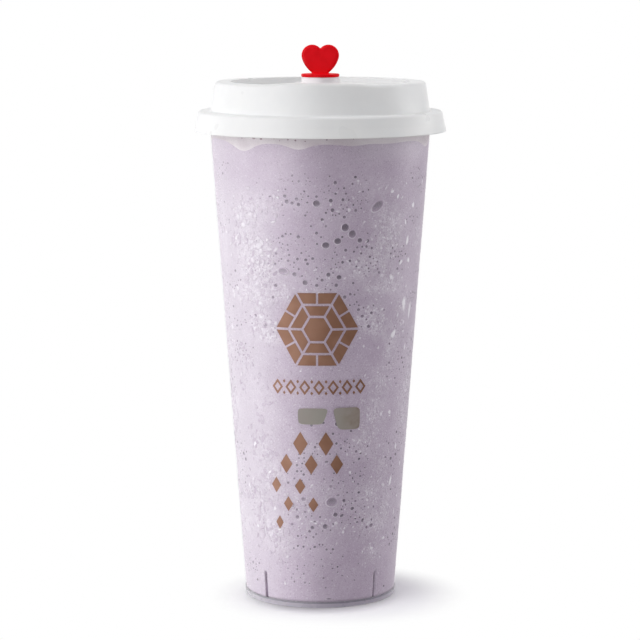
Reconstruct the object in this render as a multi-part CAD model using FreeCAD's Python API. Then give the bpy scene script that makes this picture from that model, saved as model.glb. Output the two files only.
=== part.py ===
import FreeCAD, Part
import math
import os

# A taro smoothie in a tall takeaway cup, with a pale froth on top, a push-on lid and a heart-shaped
# stopper in the lid's drinking hole. Millimetres, +Z up, origin at the middle of the foot.
# The drinking hole is at the front, towards -Y.

os.makedirs("parts", exist_ok=True)
Vector = FreeCAD.Vector
origin = Vector(0, 0, 0)
up = Vector(0, 0, 1)

# Cup
cup_height = 185.0              # from the table to the top of the rim
foot_radius = 28.8              # outside of the wall where it meets the table
mouth_radius = 42.35            # outside of the wall at the height of the rim
cup_wall = 0.8
floor_thickness = 0.9
foot_recess = 1.5               # height of the floor's underside above the table
foot_ring_width = 1.6
foot_rounding = 0.5
rim_overhang = 2.65             # from the outside of the wall to the edge of the rim
rim_thickness = 1.2
rim_drop = 4.0                  # how far the rim's edge turns down
rim_rounding = 0.7
rib_count = 4                   # short upright ribs inside, just above the floor
rib_width = 0.8
rib_depth = 0.8
rib_height = 9.7

# Drink
headspace = 3.5                 # from the froth's top up to the top of the rim
froth_depth = 5.3               # mean depth of the froth
froth_ripple = 0.35             # height of the slow waves in the froth's lower face
froth_ripple_length = 31.0
# Bulges where the froth hangs down at the wall: angle from the front, depth, reach along the wall
froth_bulges = [(-43, 3.4, 6.5), (-11, 2.1, 5.0), (17, 0.7, 5.0), (74, 2.6, 6.0), (112, 1.5, 4.5),
                (151, 3.0, 7.0), (-158, 1.6, 5.5), (-122, 2.7, 6.5), (-86, 1.2, 4.5)]

# Lid
lid_clearance = 0.15            # between the rim's edge and the skirt
lid_wall = 1.0
ledge_thickness = 1.2
ledge_width = 3.5               # from the rim's edge in to the foot of the drum
ledge_rounding = 1.1
drum_height = 10.95             # from the top of the ledge to the crown
drum_taper = 1.7                # how much the drum's radius shrinks over its height
drum_fillet = 0.6
crown_rounding = 1.25
crown_width = 5.9               # width of the raised ring round the recess
recess_depth = 4.55
recess_floor_thickness = 1.0
recess_corner = 3.0
recess_step_depth = 1.4         # a narrow step runs round the recess below its edge
recess_step_width = 0.8
skirt_height = 7.65             # from the top of the ledge to the tip of the skirt
skirt_spread = 0.82             # how much wider the skirt is at its crease than at the ledge
flare_height = 3.35             # the flared band below the crease
flare_spread = 0.85
bead_depth = 0.35               # snap bead that grips under the rim
bead_height = 1.1
seal_clearance = 0.1            # between the seal ring and the inside of the cup
seal_depth = 2.5
seal_wall = 0.9

# Spout and the low hump of the crown that carries it
spout_bore = 6.0                # radius of the drinking hole
spout_wall = 1.0
spout_height = 2.1
spout_taper = 0.12
spout_setback = 10.3            # from the crown's edge in to the hole's axis
lobe_margin = 2.0               # how far the platform reaches past the spout's wall
hump_height = 0.95
hump_margin = 1.0               # level stretch beside the spout
hump_ramp = 16.0                # length over which the hump fades into the crown

# Stopper
stopper_clearance = 0.1         # between the stem and the drinking hole
stem_length = 5.2
stem_wall = 1.3
stem_chamfer = 0.5
flange_thickness = 1.1
flange_rounding = 0.35
heart_lobe_radius = 3.9
heart_lobe_offset = 2.98        # from the middle to the centre of each lobe
heart_lobe_height = 6.7         # from the top of the flange to the lobes' centres
heart_side_radius = 10.0        # the gently bowed sides
heart_neck_half_width = 3.2
heart_neck_height = 0.5
heart_notch_radius = 0.25
heart_thickness = 3.0
heart_rounding = 1.05


# Sizes that follow
wall_slope = (mouth_radius - foot_radius) / cup_height
floor_top = foot_recess + floor_thickness
rim_radius = mouth_radius + rim_overhang
froth_top = cup_height - headspace
ledge_top = cup_height + ledge_thickness
crown_top = ledge_top + drum_height
drum_foot_radius = rim_radius - ledge_width
drum_slope = drum_taper / drum_height
crown_radius = drum_foot_radius - drum_taper
recess_radius = crown_radius - crown_width
recess_floor = crown_top - recess_depth
spout_radius = spout_bore + spout_wall
spout_y = spout_setback - crown_radius
lobe_radius = spout_radius + lobe_margin
platform_top = crown_top + hump_height
spout_top = platform_top + spout_height
flange_top = spout_top + flange_thickness


def cup_outside(height):
    return foot_radius + wall_slope * height


def cup_inside(height):
    return cup_outside(height) - cup_wall


def rounded_outline(corners):
    """Closed wire in the XZ plane through (x, z, rounding) corners, each rounded by a tangent arc."""
    stretches = []
    for index, (x, z, rounding) in enumerate(corners):
        here = Vector(x, 0, z)
        if rounding == 0:
            stretches.append((here, here, here))
            continue
        before = corners[index - 1]
        after = corners[(index + 1) % len(corners)]
        to_before = (Vector(before[0], 0, before[1]) - here).normalize()
        to_after = (Vector(after[0], 0, after[1]) - here).normalize()
        half_angle = to_before.getAngle(to_after) / 2
        inward = (to_before + to_after).normalize()
        cut = rounding / math.tan(half_angle)
        middle = here + inward * (rounding / math.sin(half_angle) - rounding)
        stretches.append((here + to_before * cut, middle, here + to_after * cut))
    edges = []
    for index, (start, middle, end) in enumerate(stretches):
        if start != end:
            edges.append(Part.Arc(start, middle, end).toShape())
        next_start = stretches[(index + 1) % len(stretches)][0]
        if end.distanceToPoint(next_start) > 1e-6:
            edges.append(Part.LineSegment(end, next_start).toShape())
    return Part.Wire(edges)


def turned(corners):
    """Solid of revolution about Z from the corners of its half section."""
    return Part.Face(rounded_outline(corners)).revolve(origin, up, 360)


def mirrored_pair(vector):
    return Vector(-vector.x, vector.y, vector.z), vector


def circle_crossing(centre_a, radius_a, centre_b, radius_b, side):
    """Where two circles in one plane cross, on the side that the given direction points to."""
    across = centre_b - centre_a
    gap = across.Length
    along = (gap ** 2 + radius_a ** 2 - radius_b ** 2) / (2 * gap)
    height = math.sqrt(radius_a ** 2 - along ** 2)
    across.normalize()
    outward = side - across * side.dot(across)
    return centre_a + across * along + outward.normalize() * height


def towards(start, end, distance):
    return start + (end - start).normalize() * distance


# Cup

def cup_cavity(top):
    """Space inside the cup from its floor up to the given height, ribs left in."""
    return turned([(0, floor_top, 0), (cup_inside(floor_top), floor_top, foot_rounding),
                   (cup_inside(top), top, 0), (0, top, 0)])


def make_ribs():
    """Upright ribs, each sunk halfway into the wall so that it grows out of it."""
    ribs = []
    rib_top = floor_top + rib_height
    lean = wall_slope * rib_height
    reach = cup_inside(floor_top) - rib_depth
    root = cup_inside(floor_top) + cup_wall / 2
    sunk = floor_top - floor_thickness / 2
    side = Part.makePolygon([Vector(reach, -rib_width / 2, sunk), Vector(root, -rib_width / 2, sunk),
                             Vector(root + lean, -rib_width / 2, rib_top),
                             Vector(reach + lean, -rib_width / 2, rib_top),
                             Vector(reach, -rib_width / 2, sunk)])
    for index in range(rib_count):
        rib = Part.Face(side).extrude(Vector(0, rib_width, 0))
        rib.rotate(origin, up, (index + 0.5) * 360 / rib_count)
        ribs.append(rib)
    return ribs


def make_cup():
    ring_inside = foot_radius - foot_ring_width
    lip_inside = rim_radius - rim_thickness
    lip_bottom = cup_height - rim_drop
    lip_under = cup_height - rim_thickness
    corners = [(0, foot_recess, 0),
               (ring_inside, foot_recess, foot_rounding),
               (ring_inside, 0, 0),
               (foot_radius, 0, foot_rounding),
               (cup_outside(lip_under), lip_under, rim_rounding / 2),
               (lip_inside, lip_under, rim_rounding),
               (lip_inside, lip_bottom, rim_thickness / 4),
               (rim_radius, lip_bottom, rim_thickness / 4),
               (rim_radius, cup_height, rim_rounding),
               (cup_inside(cup_height), cup_height, rim_rounding / 2),
               (cup_inside(floor_top), floor_top, foot_rounding),
               (0, floor_top, 0)]
    return turned(corners).fuse(make_ribs()).removeSplitter()


# Drink

def froth_line(x, y):
    """Height of the froth's lower face: slow ripples, with a rounded bulge at each place on the wall."""
    turn = 2 * math.pi / froth_ripple_length
    height = froth_top - froth_depth + froth_ripple * math.sin(turn * x) * math.cos(turn * y)
    wall = cup_inside(froth_top - froth_depth)
    for angle, depth, reach in froth_bulges:
        away = math.hypot(x - wall * math.sin(math.radians(angle)),
                          y + wall * math.cos(math.radians(angle)))
        height -= depth * math.exp(-(away / reach) ** 2)
    return height


def make_drink():
    """The drink fills the cup round its ribs, and the froth line parts it in two."""
    half = mouth_radius + cup_wall
    cells = 36
    grid = [[Vector(x, y, froth_line(x, y))
             for x in [half * (2 * i / cells - 1) for i in range(cells + 1)]]
            for y in [half * (2 * j / cells - 1) for j in range(cells + 1)]]
    surface = Part.BSplineSurface()
    surface.interpolate(grid)
    above = surface.toShape().extrude(Vector(0, 0, froth_depth * 4))
    whole = cup_cavity(froth_top).cut(make_ribs())
    return whole.cut(above), whole.common(above)


# Lid

def hump_profile(lowered):
    """Outline in the XZ plane of all that lies above the crown, lowered by the given amount."""
    level = platform_top - lowered
    flat = crown_top - lowered
    near = spout_radius + hump_margin
    far = near + hump_ramp
    middle = Vector((near + far) / 2, 0, (level + flat) / 2)
    radius = (hump_ramp ** 2 + hump_height ** 2) / (4 * hump_height)
    swing = math.asin(hump_ramp / 2 / radius) / 2
    bow_x = radius * math.sin(swing)
    bow_z = radius * (1 - math.cos(swing))
    wide = rim_radius + lid_wall
    high = platform_top + lid_wall
    ends = [Vector(near, 0, level), Vector(near + bow_x, 0, level - bow_z), middle,
            Vector(far - bow_x, 0, flat + bow_z), Vector(far, 0, flat)]
    left = [mirrored_pair(point)[0] for point in ends]
    edges = [Part.LineSegment(left[0], ends[0]), Part.Arc(*ends[0:3]), Part.Arc(*ends[2:5]),
             Part.LineSegment(ends[4], Vector(wide, 0, flat)),
             Part.LineSegment(Vector(wide, 0, flat), Vector(wide, 0, high)),
             Part.LineSegment(Vector(wide, 0, high), Vector(-wide, 0, high)),
             Part.LineSegment(Vector(-wide, 0, high), Vector(-wide, 0, flat)),
             Part.LineSegment(Vector(-wide, 0, flat), left[4]),
             Part.Arc(left[4], left[3], left[2]), Part.Arc(left[2], left[1], left[0])]
    return Part.Face(Part.Wire([edge.toShape() for edge in edges]))


def above_crown(lowered=0.0):
    """All that lies above the crown: over its hump at the front, and over its flat ring behind."""
    wide = rim_radius + lid_wall
    front = hump_profile(lowered).extrude(Vector(0, -wide, 0))
    back = Part.makeBox(2 * wide, wide, platform_top + lid_wall - (crown_top - lowered),
                        Vector(-wide, 0, crown_top - lowered))
    return front.fuse(back)


def recess_outline(grown, height):
    """Face of the recess seen from above: a disc with the spout's platform bitten out of it."""
    outer = recess_radius + grown
    lobe = lobe_radius - grown
    corner = recess_corner + grown
    middle = Vector(0, 0, height)
    spout = Vector(0, spout_y, height)
    right = circle_crossing(middle, outer - corner, spout, lobe + corner, Vector(1, 0, 0))
    left = mirrored_pair(right)[0]
    arcs = [(towards(middle, right, outer), middle + Vector(0, outer, 0), towards(middle, left, outer)),
            (towards(middle, left, outer), None, towards(spout, left, lobe)),
            (towards(spout, left, lobe), spout + Vector(0, lobe, 0), towards(spout, right, lobe)),
            (towards(spout, right, lobe), None, towards(middle, right, outer))]
    edges = []
    for (start, through, end), centre in zip(arcs, (middle, left, spout, right)):
        if through is None:
            through = towards(centre, (start + end) * 0.5, corner)
        edges.append(Part.Arc(start, through, end).toShape())
    return Part.Face(Part.Wire(edges))


def recess_block(grown, floor):
    """The stepped recess as a block, grown sideways and lowered for the wall under it."""
    high = platform_top + lid_wall
    lower = recess_outline(grown - recess_step_width, floor).extrude(Vector(0, 0, high - floor))
    step = crown_top - recess_step_depth - grown
    upper = recess_outline(grown, step).extrude(Vector(0, 0, high - step))
    return lower.fuse(upper)


def lid_outside():
    """Everything inside the lid's outer surface, with its skirt, snap bead and seal ring."""
    top = platform_top + lid_wall
    skirt_inside = rim_radius + lid_clearance
    skirt_outside = skirt_inside + lid_wall
    tip = ledge_top - skirt_height
    crease = tip + flare_height
    tip_outside = skirt_outside + skirt_spread + flare_spread
    bead = cup_height - rim_drop - lid_clearance
    seal_bottom = cup_height - seal_depth
    seal_outside = cup_inside(seal_bottom) - seal_clearance
    return turned([(0, top, 0),
                   (drum_foot_radius - drum_slope * (top - ledge_top), top, 0),
                   (drum_foot_radius, ledge_top, drum_fillet),
                   (skirt_outside, ledge_top, ledge_rounding),
                   (skirt_outside + skirt_spread, crease, 0),
                   (tip_outside, tip, lid_wall / 4),
                   (tip_outside - lid_wall, tip, lid_wall / 4),
                   (skirt_inside, bead - bead_height, 0),
                   (skirt_inside - bead_depth, bead - bead_height / 2, bead_depth / 2),
                   (skirt_inside, bead, 0),
                   (skirt_inside, cup_height, 0),
                   (cup_inside(cup_height) - seal_clearance, cup_height, 0),
                   (seal_outside, seal_bottom, seal_wall / 4),
                   (seal_outside - seal_wall, seal_bottom, seal_wall / 4),
                   (seal_outside - seal_wall, cup_height, 0),
                   (0, cup_height, 0)])


def lid_hollow():
    """The space under the drum, open below, between the drum's wall and the recess's."""
    drum_inside = drum_foot_radius - lid_wall
    seal_inside = cup_inside(cup_height - seal_depth) - seal_clearance - seal_wall
    below = cup_height - lid_wall
    reach = min(drum_inside, seal_inside)
    hollow = turned([(0, below, 0), (reach, below, 0), (reach, cup_height, 0), (drum_inside, ledge_top, 0),
                     (drum_inside - drum_slope * (platform_top - ledge_top), platform_top, 0),
                     (0, platform_top, 0)])
    return hollow.cut(above_crown(lid_wall)).cut(recess_block(lid_wall, recess_floor - recess_floor_thickness))


def spout_outside():
    base = crown_top - lid_wall / 2
    spout = turned([(0, base, 0), (spout_radius, base, 0),
                    (spout_radius, platform_top, 0),
                    (spout_radius - spout_taper, spout_top, spout_wall / 4), (0, spout_top, 0)])
    spout.translate(Vector(0, spout_y, 0))
    return spout


def crown_edges(lid):
    """The edges that run round the top of the drum."""
    edges = []
    for edge in lid.Edges:
        heights = [vertex.Z for vertex in edge.Vertexes]
        middle = edge.valueAt((edge.FirstParameter + edge.LastParameter) / 2)
        heights.append(middle.z)
        if min(heights) > crown_top - 0.01 and math.hypot(middle.x, middle.y) > crown_radius - 0.5:
            edges.append(edge)
    return edges


def make_lid():
    body = lid_outside().cut(above_crown()).removeSplitter()
    body = body.makeFillet(crown_rounding, crown_edges(body))
    body = body.cut(recess_block(0.0, recess_floor)).cut(lid_hollow())
    hole = Part.makeCylinder(spout_bore, spout_top, Vector(0, spout_y, cup_height - seal_depth))
    return body.fuse(spout_outside()).cut(hole).removeSplitter()


# Stopper

def heart_outline(front):
    """Closed wire of the heart: neck, bowed sides, two round lobes and a small rounding at the notch."""
    lobe = Vector(heart_lobe_offset, front, flange_top + heart_lobe_height)
    neck = Vector(heart_neck_half_width, front, flange_top + heart_neck_height)
    foot = Vector(heart_neck_half_width, front, flange_top - flange_thickness / 2)
    side = circle_crossing(lobe, heart_side_radius - heart_lobe_radius, neck, heart_side_radius,
                           Vector(-1, 0, 0))
    side_end = towards(side, lobe, heart_side_radius)
    side_middle = towards(side, (neck + side_end) * 0.5, heart_side_radius)
    notch_reach = heart_lobe_radius + heart_notch_radius
    notch = lobe + Vector(-heart_lobe_offset, 0, math.sqrt(notch_reach ** 2 - heart_lobe_offset ** 2))
    notch_side = towards(lobe, notch, heart_lobe_radius)
    notch_bottom = notch - Vector(0, 0, heart_notch_radius)
    crest = lobe + Vector(0, 0, heart_lobe_radius)
    widest = lobe + Vector(heart_lobe_radius, 0, 0)
    edges = []
    for mirror in (0, 1):
        def place(point):
            return mirrored_pair(point)[0] if mirror else point
        edges.append(Part.LineSegment(place(foot), place(neck)))
        edges.append(Part.Arc(place(neck), place(side_middle), place(side_end)))
        edges.append(Part.Arc(place(side_end), place(widest), place(crest)))
        edges.append(Part.Arc(place(crest), place(towards(lobe, (crest + notch_side) * 0.5,
                                                          heart_lobe_radius)), place(notch_side)))
    edges.append(Part.Arc(notch_side, notch_bottom, mirrored_pair(notch_side)[0]))
    edges.append(Part.LineSegment(foot, mirrored_pair(foot)[0]))
    shapes = [edge.toShape() for edge in edges]
    return Part.Wire(Part.__sortEdges__(shapes))


def make_heart():
    front = spout_y - heart_thickness / 2
    back = spout_y + heart_thickness / 2
    heart = Part.Face(heart_outline(front)).extrude(Vector(0, heart_thickness, 0))
    rounded = []
    for edge in heart.Edges:
        depths = [vertex.Y for vertex in edge.Vertexes]
        heights = [vertex.Z for vertex in edge.Vertexes]
        flat = max(depths) - min(depths) < 1e-6 and depths[0] in (front, back)
        if flat and max(heights) > flange_top:
            rounded.append(edge)
    return heart.makeFillet(heart_rounding, rounded)


def make_stopper():
    stem_radius = spout_bore - stopper_clearance
    stem_bottom = spout_top - stem_length
    core = stem_radius - stem_wall
    plug = turned([(0, spout_top, 0), (core, spout_top, 0), (core, stem_bottom, 0),
                   (stem_radius - stem_chamfer, stem_bottom, 0), (stem_radius, stem_bottom + stem_chamfer, 0),
                   (stem_radius, spout_top, 0), (spout_radius, spout_top, flange_rounding),
                   (spout_radius, flange_top, flange_rounding), (0, flange_top, 0)])
    plug.translate(Vector(0, spout_y, 0))
    return plug.fuse(make_heart()).removeSplitter()


smoothie, froth = make_drink()
nodes = {"cup": make_cup(), "smoothie": smoothie, "froth": froth, "lid": make_lid(),
         "stopper": make_stopper()}
for name, shape in nodes.items():
    solids = shape.Solids
    print(name, "solids", len(solids), "valid", shape.isValid(), "volume", round(shape.Volume, 1),
          "box", [round(value, 2) for value in (shape.BoundBox.XMin, shape.BoundBox.XMax,
                                                 shape.BoundBox.YMin, shape.BoundBox.YMax,
                                                 shape.BoundBox.ZMin, shape.BoundBox.ZMax)])
    solids[0].exportStep("parts/" + name + ".step")
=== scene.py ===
import math

import bpy
import numpy as np
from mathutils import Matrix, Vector


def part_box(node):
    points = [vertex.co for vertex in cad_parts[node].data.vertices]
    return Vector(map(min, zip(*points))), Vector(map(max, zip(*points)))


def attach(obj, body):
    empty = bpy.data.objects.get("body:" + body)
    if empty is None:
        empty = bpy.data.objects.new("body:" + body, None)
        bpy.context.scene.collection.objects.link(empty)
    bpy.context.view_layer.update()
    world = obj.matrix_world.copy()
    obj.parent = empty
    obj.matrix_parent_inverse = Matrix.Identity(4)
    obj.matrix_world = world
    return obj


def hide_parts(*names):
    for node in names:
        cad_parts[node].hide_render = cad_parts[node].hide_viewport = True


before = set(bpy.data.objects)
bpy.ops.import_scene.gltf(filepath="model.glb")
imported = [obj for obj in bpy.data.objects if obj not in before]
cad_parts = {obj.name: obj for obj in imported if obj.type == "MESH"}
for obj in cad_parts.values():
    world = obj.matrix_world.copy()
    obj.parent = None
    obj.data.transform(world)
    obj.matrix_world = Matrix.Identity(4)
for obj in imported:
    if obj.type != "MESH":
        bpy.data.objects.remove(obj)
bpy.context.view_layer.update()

mm = 0.001
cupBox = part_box("cup")
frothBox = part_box("froth")
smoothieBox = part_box("smoothie")
print("frame loaded:", sorted(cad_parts))

# The cup as the frame builds it: a straight cone with a thin wall, standing on its foot ring
cupShape = {
    "footRadius": 28.8 * mm,
    "mouthRadius": 42.35 * mm,
    "height": cupBox[1].z,
    "wall": 0.8 * mm,
    "ribCount": 4,
    "ribWidth": 0.8 * mm,
    "ribDepth": 0.8 * mm,
    "ribTop": 12.1 * mm,
    "ribFade": 0.3 * mm,
}


def outerRadius(height):
    # foot radius plus the cone's slope times the height
    slope = (cupShape["mouthRadius"] - cupShape["footRadius"]) / cupShape["height"]
    return cupShape["footRadius"] + slope * height


def innerRadius(height):
    return outerRadius(height) - cupShape["wall"]


def onCone(angle, height, lift):
    # angle in radians from the front (-Y), turning towards +X; lift is the distance out from the inner wall
    radius = innerRadius(height) + lift
    return np.stack([radius * np.sin(angle), -radius * np.cos(angle), height + 0 * radius], axis=-1)


def smoothStep(edge0, edge1, value):
    # the cubic that rises from 0 at the first edge to 1 at the second
    share = np.clip((value - edge0) / (edge1 - edge0), 0, 1)
    return share * share * (3 - 2 * share)


def fullTurn(count):
    # evenly spaced angles round a circle
    return np.linspace(0, 2 * np.pi, count, endpoint=False)


# Meshes from whole arrays

def arrayMesh(name, vertices, faces):
    # vertices (n, 3); faces is a list of index arrays, (m, 3) for triangles and (m, 4) for quads
    mesh = bpy.data.meshes.new(name)
    sizes = np.concatenate([np.full(len(block), block.shape[1]) for block in faces])
    loops = np.concatenate([block.ravel() for block in faces]).astype(np.int32)
    starts = np.concatenate([[0], np.cumsum(sizes)[:-1]]).astype(np.int32)
    mesh.vertices.add(len(vertices))
    mesh.vertices.foreach_set("co", np.asarray(vertices, np.float32).ravel())
    mesh.loops.add(len(loops))
    mesh.loops.foreach_set("vertex_index", loops)
    mesh.polygons.add(len(sizes))
    mesh.polygons.foreach_set("loop_start", starts)
    mesh.polygons.foreach_set("loop_total", sizes.astype(np.int32))
    return mesh


def meshPiece(name, vertices, faces, material, slot, **values):
    # a smooth shaded piece of the object; values are attributes, one number a vertex
    mesh = arrayMesh(name, vertices, faces)
    mesh.polygons.foreach_set("use_smooth", np.ones(len(mesh.polygons), bool))
    for label, numbers in values.items():
        layer = mesh.attributes.new(label, "FLOAT", "POINT")
        layer.data.foreach_set("value", np.asarray(numbers, np.float32).ravel())
    mesh.update(calc_edges=True)
    mesh.validate()
    mesh.materials.append(material)
    piece = bpy.data.objects.new(name, mesh)
    bpy.context.scene.collection.objects.link(piece)
    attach(piece, "root")
    return piece


def turnedFaces(rows, columns):
    # quads between neighbouring rows of a ring, with a fan to one extra vertex at each end
    row, column = np.meshgrid(np.arange(rows - 1), np.arange(columns), indexing="ij")
    after = (column + 1) % columns
    quads = np.stack([row * columns + column, row * columns + after,
                      (row + 1) * columns + after, (row + 1) * columns + column], axis=-1).reshape(-1, 4)
    here = np.arange(columns)
    there = (here + 1) % columns
    low = rows * columns
    bottom = np.stack([np.full(columns, low), there, here], axis=-1)
    last = (rows - 1) * columns
    top = np.stack([np.full(columns, low + 1), last + here, last + there], axis=-1)
    return [quads, bottom, top]


def turnedPiece(name, rings, material, slot, **values):
    # rings (rows, columns, 3) from the bottom's middle to the top's middle, both ends closed by a fan
    rows, columns = rings.shape[:2]
    vertices = np.concatenate([rings.reshape(-1, 3), rings[0].mean(0)[None], rings[-1].mean(0)[None]])
    values = {label: np.concatenate([grid.ravel(), [grid[0].mean(), grid[-1].mean()]])
              for label, grid in values.items()}
    return meshPiece(name, vertices, turnedFaces(rows, columns), material, slot, **values)


# Node helpers

def newMaterial(name):
    # an empty node tree
    material = bpy.data.materials.new(name)
    material.use_nodes = True
    material.node_tree.nodes.clear()
    return material


def addNode(material, kind, inputs=None, **settings):
    # kind is the node's type without ShaderNode; inputs maps a socket's name or number to a value or to
    # another node's output
    node = material.node_tree.nodes.new("ShaderNode" + kind)
    for name, value in settings.items():
        setattr(node, name, value)
    for socket, value in (inputs or {}).items():
        if isinstance(value, bpy.types.NodeSocket):
            material.node_tree.links.new(value, node.inputs[socket])
        else:
            node.inputs[socket].default_value = value
    return node


def calc(material, operation, first, second=0.0, third=0.0):
    # one step of arithmetic
    node = addNode(material, "Math", {0: first, 1: second, 2: third}, operation=operation)
    return node.outputs[0]


def spread(material, value, low, high, outLow=0.0, outHigh=1.0):
    # a smooth step from outLow at low to outHigh at high
    inputs = {"Value": value, "From Min": low, "From Max": high, "To Min": outLow, "To Max": outHigh}
    return addNode(material, "MapRange", inputs, interpolation_type="SMOOTHSTEP").outputs[0]


def mixColor(material, factor, first, second):
    # the first color at factor 0 and the second at factor 1
    return addNode(material, "Mix", {0: factor, 6: first, 7: second}, data_type="RGBA").outputs[2]


def mixShader(material, factor, first, second):
    return addNode(material, "MixShader", {0: factor, 1: first.outputs[0], 2: second.outputs[0]})


def objectPoint(material):
    return addNode(material, "TexCoord").outputs["Object"]


def noise(material, point, scale, detail=2.0, roughness=0.5):
    inputs = {"Vector": point, "Scale": scale, "Detail": detail, "Roughness": roughness}
    return addNode(material, "TexNoise", inputs).outputs["Fac"]


def cellEdges(material, point, scale):
    # distance to the nearest edge between random cells, in parts of a cell
    return addNode(material, "TexVoronoi", {"Vector": point, "Scale": scale},
                   feature="DISTANCE_TO_EDGE").outputs["Distance"]


def distanceFrom(material, point, place):
    return addNode(material, "VectorMath", {0: point, 1: place},
                   operation="DISTANCE").outputs["Value"]


def meshValue(material, label):
    # an attribute of the mesh
    return addNode(material, "Attribute", attribute_name=label).outputs["Fac"]


def toned(material, color, pale, dark):
    # the mesh's tone turns the color paler above 0 and darker below 0
    tone = meshValue(material, "tone")
    color = mixColor(material, spread(material, tone, 0.0, 1.0), color, pale)
    return mixColor(material, spread(material, tone, 0.0, -1.0), color, dark)


def finishMaterial(material, shader):
    # the shader's node becomes the material's surface
    addNode(material, "OutputMaterial", {"Surface": shader.outputs[0]})
    return material


def solidSurface(material, color, roughness, height, relief, inputs=None):
    # the principled shader over a bump; relief is the bump's strength and its distance in metres
    strength, distance = relief
    bump = addNode(material, "Bump", {"Height": height, "Strength": strength, "Distance": distance})
    inputs = {"Base Color": color, "Roughness": roughness, "Normal": bump.outputs[0], **(inputs or {})}
    return finishMaterial(material, addNode(material, "BsdfPrincipled", inputs))


# Smoothie material: pale purple and mottled. Two attributes of each mesh change it: tone makes it darker
# (below 0: painted shade in bubbles' hollows, the rib slots, the floor's edge and over the drink) or paler
# (above 0: painted highlights on bubbles' rims, painted light over the drink, and flecks), and foam adds
# fine froth
smoothieLook = {
    "color": (0.385, 0.30, 0.405, 1),
    "mottled": (0.43, 0.345, 0.45, 1),
    "pale": (0.80, 0.775, 0.82, 1),
    "dark": (0.070, 0.045, 0.078, 1),
    "mottleScale": 70.0,
    "mottles": (0.36, 0.66),  # noise at which mottles start and are full
    "grainScale": 1900.0,
    "paleGrains": (0.58, 0.74, 0.0, 0.32),  # noise from and to, strength from and to
    "darkGrains": (0.42, 0.26, 0.0, 0.36),
    "cellScale": 1150.0,
    "cellWalls": (0.24, 0.06),  # distance to the edge at which a wall starts and is full
    "wallShare": (0.55, 0.22),  # strength of foam in its walls, and everywhere
    "lumpScale": 420.0,
    "lumps": (0.40, 0.62),
    "lumpShare": (0.75, 0.25),  # strength of foam in its lumps, and everywhere
    "roughness": 0.4,
    "relief": (0.08, 0.0001),
}


def smoothieMaterial():
    # layers over each other: mottles, pale and dark grains, foam, and the tone of the mesh
    material = newMaterial("smoothieSurface")
    look = smoothieLook
    point = objectPoint(material)
    mottles = spread(material, noise(material, point, look["mottleScale"], 4.0, 0.6), *look["mottles"])
    color = mixColor(material, mottles, look["color"], look["mottled"])
    grain = noise(material, point, look["grainScale"], 1.5)
    color = mixColor(material, spread(material, grain, *look["paleGrains"]), color, look["pale"])
    color = mixColor(material, spread(material, grain, *look["darkGrains"]), color, look["dark"])
    # foam: pale walls round small cells, broken up in lumps, as dense as the mesh's foam says
    foam = meshValue(material, "foam")
    walls = spread(material, cellEdges(material, point, look["cellScale"]), *look["cellWalls"])
    lumps = spread(material, noise(material, point, look["lumpScale"], 3.0, 0.65), *look["lumps"])
    patchy = calc(material, "MULTIPLY", foam, calc(material, "MULTIPLY_ADD", lumps, *look["lumpShare"]))
    foamy = calc(material, "MULTIPLY", patchy, calc(material, "MULTIPLY_ADD", walls, *look["wallShare"]))
    color = toned(material, mixColor(material, foamy, color, look["pale"]), look["pale"], look["dark"])
    height = calc(material, "MULTIPLY", walls, foam)
    return solidSurface(material, color, look["roughness"], height, look["relief"])


frothLook = {
    "color": (0.475, 0.405, 0.45, 1),
    "cell": (0.56, 0.50, 0.535, 1),
    # rim: painted highlights on bubble rims, painted light on the right side, and the pale lower edges; pit:
    # painted shade in open bubbles
    "rim": (0.80, 0.77, 0.79, 1),
    "pit": (0.16, 0.085, 0.12, 1),
    "cloudScale": 120.0,
    "clouds": (0.4, 0.65),
    "cellScale": 900.0,
    "cellWalls": (0.10, 0.0, 0.0, 0.35),
    "roughness": 0.5,
    "relief": (0.3, 0.0002),
}


def frothMaterial():
    # clouds, then the walls of small cells, then the tone of the mesh: painted shade in the pits of open
    # bubbles, painted highlights on their rims and painted light on the right side
    material = newMaterial("frothSurface")
    look = frothLook
    point = objectPoint(material)
    cells = cellEdges(material, point, look["cellScale"])
    clouds = spread(material, noise(material, point, look["cloudScale"], 3.0), *look["clouds"])
    color = mixColor(material, clouds, look["color"], look["cell"])
    color = mixColor(material, spread(material, cells, *look["cellWalls"]), color, look["cell"])
    color = toned(material, color, look["rim"], look["pit"])
    return solidSurface(material, color, look["roughness"], cells, look["relief"])


smoothieSurface = smoothieMaterial()
frothSurface = frothMaterial()
print("drink materials ready")

# The drink's body and the froth over it
drink = {
    "reach": 0.45 * mm,  # how far both reach into the cup's wall
    "floorReach": 0.45 * mm,
    "floorTop": smoothieBox[0].z,
    "frothTop": frothBox[1].z,
    "frothDepth": 5.3 * mm,
    "edgeWidth": 2.6 * mm,  # the pale lower edge of each bulge
    "ripple": 0.35 * mm,
    "rippleLength": 31.0 * mm,
    # bulges of the froth at the wall: angle from the front, depth and reach along the wall in mm
    "bulges": [(-43, 3.4, 6.5), (-11, 2.1, 5.0), (17, 0.7, 5.0), (74, 2.6, 6.0), (112, 1.5, 4.5),
               (151, 3.0, 7.0), (-158, 1.6, 5.5), (-122, 2.7, 6.5), (-86, 1.2, 4.5)],
    "lineLevel": 176 * mm,  # about where the froth line meets the wall
    "lineShares": np.array([0.2, 0.5, 0.8, 0.97, 0.9995]),  # rings across it, as shares of the wall's radius
    "columns": 360,
    "wallRows": 190,
    "cornerRadius": 0.6 * mm,
    # painted shade in the slots of the ribs
    "ribSlotShade": -0.21,
    # painted shade in a dark line where the drink meets the cup's floor
    "floorLineShade": -0.6,
    "edgeTone": 0.4,
    "frothRightLight": (0.42, (0, 25, 45, 95)),  # painted light, paler on the right: strength, and angles as in the slow painted light and shade
}
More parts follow.
